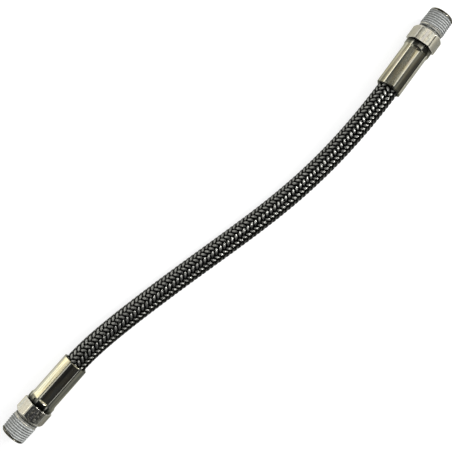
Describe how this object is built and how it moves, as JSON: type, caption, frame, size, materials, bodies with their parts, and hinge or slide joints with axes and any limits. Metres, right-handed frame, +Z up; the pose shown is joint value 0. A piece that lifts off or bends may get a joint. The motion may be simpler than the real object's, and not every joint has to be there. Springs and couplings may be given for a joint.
{
  "type": "flexible steel hose",
  "caption": "Short flexible hose in a woven stainless steel sleeve, with crimped ferrules and male taper pipe thread fittings, lying in a gentle S-curve.",
  "frame": {"origin": "on the surface that the hose rests on, under the middle of the box round its two fittings", "axes": "+X along the line from the first thread end to the second, +Z up from the surface, +Y across the hose, towards the outside of its first bend"},
  "size_m": [0.228, 0.021, 0.0123],
  "materials": {
    "nipple_plating": "yellow passivated zinc plating on steel, polished; the threads carry a matt grey-white sealant",
    "ferrule_plating": "yellow passivated zinc plating on steel, polished",
    "stainless_braid": "bright drawn stainless wire, woven two over two",
    "liner": "black extruded plastic"
  },
  "bodies": {
    "root": {"hex_nipple_1": "nipple_plating", "hex_nipple_2": "nipple_plating", "crimp_ferrule_1": "ferrule_plating", "crimp_ferrule_2": "ferrule_plating", "braided_sleeve": "stainless_braid", "inner_liner": "liner"}
  },
  "joints": []
}
